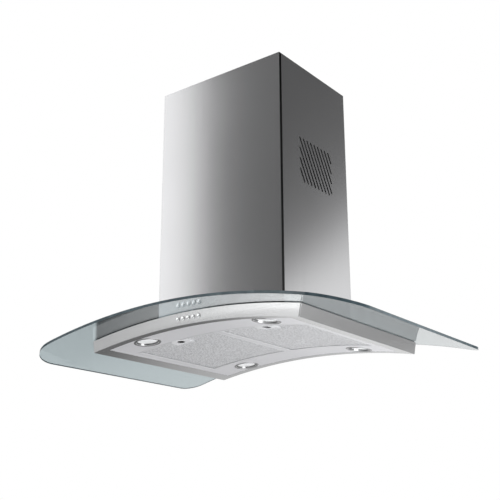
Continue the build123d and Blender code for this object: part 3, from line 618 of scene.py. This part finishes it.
def glass_holes():
    """Cut-out round the rails, and the four fixings' holes."""
    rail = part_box("lower_rail_3")[1]
    x, y = rail.x + CUTOUT_GAP, rail.y + CUTOUT_GAP
    holes = [[(-x, -y), (-x, y), (x, y), (x, -y)]]
    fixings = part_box("glass_fixings")[1]
    turns = [-2 * pi * step / HOLE_POINTS for step in range(HOLE_POINTS)]
    for side_x in (-1, 1):
        for side_y in (-1, 1):
            x, y = side_x * (fixings.x - FIXING_CAP), side_y * (fixings.y - FIXING_CAP)
            holes.append([(x + FIXING_HOLE * cos(turn), y + FIXING_HOLE * sin(turn)) for turn in turns])
    return holes


def make_glass():
    """The canopy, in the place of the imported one."""
    canopy = solid_of_arch("glass_plate", glass_outline(), glass_holes(), arch_radius, GLASS_THICK,
                           canopy_glass, arris=EDGE_POLISH)
    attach(canopy, "hood")
    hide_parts("glass_canopy")
    return canopy


# ---- Filters: expanded aluminium over a second, closed layer --------------------------------
DIAMOND_LONG, DIAMOND_SHORT = 0.0084, 0.0046    # pitch of the diamonds along X and along Y
STRAND = 0.30               # share of a diamond that its strands take
STRAND_TILT = 0.00035
STRAND_THICK = 0.00025
BACKING_RISE = 0.0018       # the closed layer's underside above the cassette's mesh
BACKING_THICK = 0.0008
BED_MARGIN = 0.0018         # frame round the latch plate
BED_BEHIND = 0.0065         # behind the latch plate, with its travel


def latch_bed(side):
    """Left, right and rear of the notch that a filter's layers leave for the latch plate."""
    low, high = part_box(f"filter_latch_{side}")
    return low.x - BED_MARGIN, high.x + BED_MARGIN, high.y + BED_BEHIND


def diamond_opening(x, y, radius):
    """Corners of the opening in a diamond, on strands tilted by the sheet's drawing."""
    corners = []
    for across, along in ((1, 0), (0, 1), (-1, 0), (0, -1)):
        corner_x = x + across * DIAMOND_LONG / 2 * (1 - STRAND)
        corner_y = y + along * DIAMOND_SHORT / 2 * (1 - STRAND)
        rise = STRAND_TILT * (1 + along) + STRAND_THICK
        corners.append((corner_x, corner_y, height_at(corner_x, radius + rise)))
    return corners


def diamond_weave(low, high, radius, bed):
    """Vertices and faces of bent open diamonds that share their knuckles, none of them over the bed."""
    bed_left, bed_right, bed_rear = bed
    half_long, half_short = DIAMOND_LONG / 2, DIAMOND_SHORT / 2
    columns = int((high.x - low.x) / half_long) - 1
    rows = int((high.y - low.y) / half_short) - 1
    start_x = (low.x + high.x - columns * half_long) / 2
    start_y = (low.y + high.y - rows * half_short) / 2
    vertices, faces, shared = [], [], {}

    def corner(column, row):
        """Knuckle between diamonds, used by all that meet there."""
        if (column, row) not in shared:
            shared[column, row] = len(vertices)
            x, y = start_x + column * half_long, start_y + row * half_short
            vertices.append((x, y, height_at(x, radius + STRAND_TILT + STRAND_THICK)))
        return shared[column, row]

    for column in range(1, columns):
        for row in range(1, rows):
            x, y = start_x + column * half_long, start_y + row * half_short
            on_bed = bed_left - half_long < x < bed_right + half_long and y < bed_rear + half_short
            if (column + row) % 2 or on_bed:
                continue
            outer = [corner(column + 1, row), corner(column, row + 1),
                     corner(column - 1, row), corner(column, row - 1)]
            inner = [len(vertices) + i for i in range(4)]
            vertices += diamond_opening(x, y, radius)
            faces += [(outer[i - 1], outer[i], inner[i], inner[i - 1]) for i in range(4)]
    return vertices, faces


def make_filter(side):
    """Open diamonds in front, backed by a closed pleated layer, both bent to the arch."""
    mesh_node = f"filter_mesh_{side}"
    low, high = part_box(mesh_node)
    radius = low_radius(mesh_node)
    bed = latch_bed(side)
    bed_left, bed_right, bed_rear = bed
    vertices, faces = diamond_weave(low, high, radius, bed)
    front = mesh_object(f"filter_weave_{side}", vertices, faces, mesh_aluminium, sharp=60)
    front.modifiers.new("strand", "SOLIDIFY").thickness = STRAND_THICK

    outline = [(low.x, low.y), (bed_left, low.y), (bed_left, bed_rear), (bed_right, bed_rear),
               (bed_right, low.y), (high.x, low.y), (high.x, high.y), (low.x, high.y)]
    backing = solid_of_arch(f"filter_backing_{side}", outline, [], radius + BACKING_RISE, BACKING_THICK,
                            backing_aluminium)
    for piece in (front, backing):
        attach(piece, f"filter_{side}")
    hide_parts(mesh_node)
    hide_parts(mesh_node)


# ---- Lamps: rolled bezel with a deep chrome cone, and a domed fluted glass ------------------------
BEZEL_RADIUS, BEZEL_PROUD = 0.032, 0.0015
RIM_BACK = -0.0003          # all heights here are above the panel's face
RIM_ROLL = (                # inset from the bezel's radius, and height
    (0.0001, RIM_BACK), (0.0, -0.0007), (0.0006, -0.0013), (0.0020, -BEZEL_PROUD),
    (0.0042, -BEZEL_PROUD), (0.0054, -0.0012), (0.0062, -0.0006), (0.0066, 0.0002),
)
EYE_RADIUS = 0.0243         # lens inside the bezel's wall
LENS_SEAT = 0.0032
CONE_END = (EYE_RADIUS + 0.0002, LENS_SEAT - 0.0003)    # radius and height where the cone ends
NECK_RADIUS, NECK_WALL = 0.028, 0.0016
NECK_STEP, NECK_TOP = 0.0007, 0.0047
LENS_LIFT = 0.0002
LENS_DOME = 0.0018
LENS_THICK = 0.0012         # at its rim
LENS_STEPS = 16
LENS_FLUTE = 0.00012
LAMP_SEGMENTS = 96


def lamp_seat(number):
    """Frame at a lamp's centre on the panel's underside."""
    centre = middle(f"lamp_lens_{number}")
    on_panel = Vector((0, centre.y, axis_z)) + out_of_arch(centre) * low_radius("underside_panel")
    return seat_on_arch(on_panel)


def make_bezel(number, seat):
    """Ring with a rolled rim, a cone up to the lens and a neck in the panel's hole."""
    rim = [(BEZEL_RADIUS - inset, height) for inset, height in RIM_ROLL]
    eye = [CONE_END, (EYE_RADIUS, LENS_SEAT), (EYE_RADIUS, NECK_TOP)]
    neck = [(NECK_RADIUS - NECK_WALL, NECK_TOP), (NECK_RADIUS - NECK_WALL, NECK_STEP),
            (NECK_RADIUS, NECK_STEP), (NECK_RADIUS, RIM_BACK)]
    bezel = lathe(f"lamp_ring_{number}", [*rim, *eye, *neck, rim[0]], seat, shaded_lamp_chrome,
                  segments=LAMP_SEGMENTS, sharp=35)
    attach(bezel, "hood")
    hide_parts(f"lamp_bezel_{number}")


def make_lens(number, seat):
    """Domed glass with shallow round flutes."""
    dome = []
    for step in range(LENS_STEPS + 1):
        bulge = LENS_DOME * (1 - (step / LENS_STEPS) ** 2)
        flute = LENS_FLUTE * cos(step * pi)
        dome.append((EYE_RADIUS * step / LENS_STEPS, LENS_SEAT + LENS_LIFT - bulge + flute))
    back = [(EYE_RADIUS, LENS_SEAT + LENS_THICK), (0.0, LENS_SEAT + LENS_THICK)]
    glass = lathe(f"lamp_glass_{number}", [*dome, *back], seat, lamp_glass, segments=LAMP_SEGMENTS, sharp=50)
    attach(glass, "hood")
    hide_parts(f"lamp_lens_{number}")


def make_lamp(number):
    """One lamp's bezel and glass."""
    seat = lamp_seat(number)
    make_bezel(number, seat)
    make_lens(number, seat)


# ---- Buttons: turned chrome caps with a dished face ----------------------------------------------
CAP_RADIUS = 0.005
# Radius of a cap's points, and their depth behind its front.
CAP_DISH = ((0.0, 0.00055), (0.0012, 0.00050), (0.0022, 0.00036), (0.0031, 0.00012))
CAP_EDGE = ((0.0036, 0.0), (0.0041, 0.0), (0.0046, 0.00018), (0.0049, 0.0005), (CAP_RADIUS, 0.0009))
COLLAR_LONG = 0.0015
STEM_RADIUS, STEM_LONG = 0.0027, 0.008


def make_button(number):
    """Push cap with a dished face, a collar behind the fascia, and a stem."""
    low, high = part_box(f"button_{number}")
    centre = middle(f"button_{number}")
    into = Matrix(((1, 0, 0), (0, 0, 1), (0, -1, 0))).to_4x4()      # the lathe's Z runs into the hood
    seat = Matrix.Translation(Vector((centre.x, low.y, centre.z))) @ into
    deep = high.y - low.y
    collar_radius = (high.x - low.x) / 2
    collar_end = deep - STEM_LONG
    collar_start = collar_end - COLLAR_LONG
    behind = [(CAP_RADIUS, collar_start), (collar_radius, collar_start), (collar_radius, collar_end),
              (STEM_RADIUS, collar_end), (STEM_RADIUS, deep), (0.0, deep)]
    cap = lathe(f"push_cap_{number}", [*CAP_DISH, *CAP_EDGE, *behind], seat, bright_chrome,
                segments=48, sharp=35)
    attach(cap, f"button_{number}")
    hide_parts(f"button_{number}")
    return cap


# ---- Studio ------------------------------------------------------------------------
FLOOR_BELOW = 2.2       # far enough down to look at the hood from underneath
FLOOR_RADIUS = 3.6
FLOOR_SIDES = 64
FLOOR_SHOWN = 0.36      # added where the camera sees the floor, so that it stays pale there
WALL_REACH = 1.5        # more than any direction's dot product with a wall's axis
UP = (0.0, 0.0, 1.0)

# The walls that metal mirrors. Each stop is a direction's dot product with the wall's axis, and a grey.
LEFT_FRONT = ((-0.75, 0.95), (-0.45, 0.35), (-0.14, 0.35), (-0.02, 0.12), (0.45, 0.13), (1.0, 0.45))
CAMERA_SIDE = ((-0.85, 0.90), (-0.60, 0.30), (-0.35, 0.14), (0.05, 0.20), (0.45, 0.12), (1.0, 0.45))
LEFT_LOW_AXIS = (0.0, 1.0, -0.3)
LEFT_LOW = (
    (0.64, 0.95), (0.75, 0.13), (0.805, 0.13), (0.82, 0.28), (0.84, 0.42), (0.885, 0.60), (1.0, 0.80),
)
LEFT_HIGH = ((-0.05, 0.88), (0.15, 0.80), (0.25, 0.14), (0.5, 0.14), (1.0, 0.45))
RIGHT_BACK_AXIS = (0.77, 0.0, 1.0)
RIGHT_BACK = (
    (-0.34, 0.95), (0.0, 0.50), (0.10, 0.42), (0.22, 0.42), (0.39, 0.65), (0.42, 0.12), (0.45, 0.10),
    (0.49, 0.50), (0.55, 0.80), (0.61, 1.00), (0.665, 1.00), (0.695, 0.68), (0.715, 0.25), (0.75, 0.17),
    (0.84, 0.12), (0.95, 0.11), (1.4, 0.35),
)
# Where one wall gives way to the next: a heading, and the two cosines between which it does.
TO_CAMERA_SIDE = ((0.62, -0.78, 0.0), 0.80, 0.92)
TO_LEFT_HIGH = (UP, -0.12, -0.06)
TO_BACK = ((0.0, 1.0, 0.0), -0.25, 0.25)
TO_RIGHT_BACK = ((0.8, 0.6, 0.0), 0.2, 0.6)
ROOM = (0.44, 0.44, 0.45, 1)        # what lights matt surfaces

# The dark card, given in the same ways.
CARD_TALL = ((0.20, 0.0), (0.21, 1.0), (0.5, 1.0), (0.6, 0.0))
CARD_FROM_LEFT = ((-0.966, 0.259, 0.0), 0.72, 0.80)
CARD_FROM_FLUE = ((0.678, 0.735, 0.0), -0.002, 0.002)
CARD = (0.08, 0.083, 0.086, 1)


def wall(tree, direction, axis, stops):
    """Grey ramp along an axis."""
    inputs = {"Value": dot(tree, direction, axis), "From Min": -WALL_REACH, "From Max": WALL_REACH}
    along = add(tree, "ShaderNodeMapRange", inputs).outputs["Result"]
    return ramp(tree, along, *[((level / WALL_REACH + 1) / 2, grey) for level, grey in stops])


def toward(tree, direction, heading, start, end):
    """0 to 1 as a direction turns towards a heading, between two cosines."""
    inputs = {"Value": dot(tree, direction, heading), "From Min": start, "From Max": end}
    return add(tree, "ShaderNodeMapRange", inputs, interpolation_type="SMOOTHSTEP").outputs["Result"]


def mirrored_walls(tree, direction):
    """The walls that metal mirrors, darker than the studio's floor."""
    left_front = wall(tree, direction, UP, LEFT_FRONT)
    camera_side = wall(tree, direction, UP, CAMERA_SIDE)
    left_low = wall(tree, direction, LEFT_LOW_AXIS, LEFT_LOW)
    left_high = wall(tree, direction, UP, LEFT_HIGH)
    right_back = wall(tree, direction, RIGHT_BACK_AXIS, RIGHT_BACK)
    front = blend(tree, toward(tree, direction, *TO_CAMERA_SIDE), left_front, camera_side)
    left_back = blend(tree, toward(tree, direction, *TO_LEFT_HIGH), left_low, left_high)
    left = blend(tree, toward(tree, direction, *TO_BACK), front, left_back)
    return blend(tree, toward(tree, direction, *TO_RIGHT_BACK), left, right_back)


def dark_card(tree, direction):
    """1 on a card at the left rear, from beside the flue to the body's left end."""
    height = wall(tree, direction, UP, CARD_TALL)
    inner = toward(tree, direction, *CARD_FROM_LEFT)
    outer = toward(tree, direction, *CARD_FROM_FLUE)
    return compute(tree, "MULTIPLY", height, compute(tree, "MULTIPLY", inner, outer))


def studio_world():
    """White to the camera; white with a dark card through glass; darker walls to metal."""
    world = bpy.data.worlds.new("studio")
    scene.world = world
    world.use_nodes = True
    tree = world.node_tree
    light = add(tree, "ShaderNodeLightPath")
    direction = add(tree, "ShaderNodeTexCoord").outputs["Generated"]
    mirrored = compute(tree, "GREATER_THAN", light.outputs["Glossy Depth"], 0.5)
    through = compute(tree, "SUBTRACT", light.outputs["Is Transmission Ray"], mirrored, clamp=True)
    soft = blend(tree, mirrored, ROOM, mirrored_walls(tree, direction))
    straight = blend(tree, light.outputs["Is Camera Ray"], soft, WHITE)
    backdrop = blend(tree, dark_card(tree, direction), WHITE, CARD)
    tree.links.new(blend(tree, through, straight, backdrop), tree.nodes["Background"].inputs["Color"])


def studio_floor():
    """Round pale kitchen floor."""
    floor_z = glass_low.z - FLOOR_BELOW
    turns = [2 * pi * step / FLOOR_SIDES for step in range(FLOOR_SIDES)]
    corners = [(FLOOR_RADIUS * cos(turn), FLOOR_RADIUS * sin(turn), floor_z) for turn in turns]
    material, tree, shader = new_material("floor", Roughness=0.6, Emission_Color=WHITE)
    paint(tree, shader, noise(tree, 1.5, detail=3.0), (0.3, 0.80), (0.7, 0.84))
    light = add(tree, "ShaderNodeLightPath")
    seen = compute(tree, "MAXIMUM", light.outputs["Is Camera Ray"], light.outputs["Is Transmission Ray"])
    tree.links.new(compute(tree, "MULTIPLY", seen, FLOOR_SHOWN), shader.inputs["Emission Strength"])
    floor = mesh_object("floor", corners, [tuple(range(FLOOR_SIDES))], material)
    floor.visible_glossy = False        # metal sees the studio's own lower half instead


FADE_START, FADE_END = 0.35, 0.85       # shares of a fading panel's width, from its far left


def fade(data, least):
    """Let a panel's brightness fall to a least share towards its far left."""
    data.use_nodes = True
    tree = data.node_tree
    across = component(tree, add(tree, "ShaderNodeNewGeometry").outputs["Parametric"], "X")
    inputs = {"Value": across, "From Min": FADE_START, "From Max": FADE_END, "To Min": least, "To Max": 1.0}
    level = add(tree, "ShaderNodeMapRange", inputs, interpolation_type="SMOOTHSTEP").outputs["Result"]
    # The glass doesn't show the panel itself, but still passes its light on to the mirroring steel.
    light = add(tree, "ShaderNodeLightPath")
    glossy = light.outputs["Glossy Depth"]
    bare = compute(tree, "SUBTRACT", light.outputs["Is Transmission Ray"], glossy, clamp=True)
    shown = compute(tree, "MULTIPLY", level, compute(tree, "SUBTRACT", 1.0, bare))
    tree.links.new(shown, tree.nodes["Emission"].inputs["Strength"])


def softbox(name, place, target, wide, tall, radiance, lights_only=None, fades_to=None):
    """Area light with a known brightness in reflections; lights_only limits what it lights."""
    data = bpy.data.lights.new(name, "AREA")
    data.shape = "RECTANGLE"
    data.size, data.size_y = wide, tall
    data.energy = radiance * pi * wide * tall
    lamp = bpy.data.objects.new(name, data)
    scene.collection.objects.link(lamp)
    facing = (Vector(target) - Vector(place)).to_track_quat("-Z", "Y")
    lamp.matrix_world = Matrix.Translation(place) @ facing.to_matrix().to_4x4()
    lamp.visible_camera = False
    lamp.visible_transmission = lights_only is not None     # the others don't show through the glass
    if fades_to is not None:
        fade(data, fades_to)
    if lights_only:
        group = bpy.data.collections.new(name + "_lights")
        for obj in lights_only:
            group.objects.link(obj)
        lamp.light_linking.receiver_collection = group


FASCIA = (0, -0.24, -0.64)
BUTTONS = (-0.03, -0.24, -0.64)

canopy = make_glass()
for side in ("left", "right"):
    make_filter(side)
for number in range(1, 5):
    make_lamp(number)
caps = [make_button(number) for number in range(1, 6)]

studio_world()
studio_floor()
flue_parts = [nodes["flue_rear_shell"], nodes["flue_front_cover"]]
body_parts = [nodes["body_shell"], canopy, *caps]       # the fascia sees the panel partly through the glass
softbox("left_panel", (-1.15, -0.75, -0.1), (0, -0.14, -0.1), wide=0.9, tall=2.0, radiance=1.2,
        lights_only=flue_parts)
softbox("fascia_panel", (-1.46, -1.93, -0.15), FASCIA, wide=2.0, tall=1.0, radiance=0.95,
        lights_only=body_parts, fades_to=0.42)
softbox("low_front", (-1.17, -1.54, -1.04), FASCIA, wide=2.0, tall=0.8, radiance=2.1,
        lights_only=body_parts, fades_to=0.15)
softbox("button_glint", (-1.33, -1.69, -0.19), BUTTONS, wide=1.4, tall=1.2, radiance=0.9,
        lights_only=caps)
softbox("floor_glow", (0.60, 0.3, -1.54), (0.60, 0.3, 0), wide=1.0, tall=1.3, radiance=1.7)
softbox("right_glow", (0.60, 0.0, -1.05), (0.15, 0, -0.65), wide=0.5, tall=0.7, radiance=2.5)
softbox("overhead", (0.3, -0.6, 1.6), (0, 0, -0.5), wide=2.0, tall=2.0, radiance=0.8)
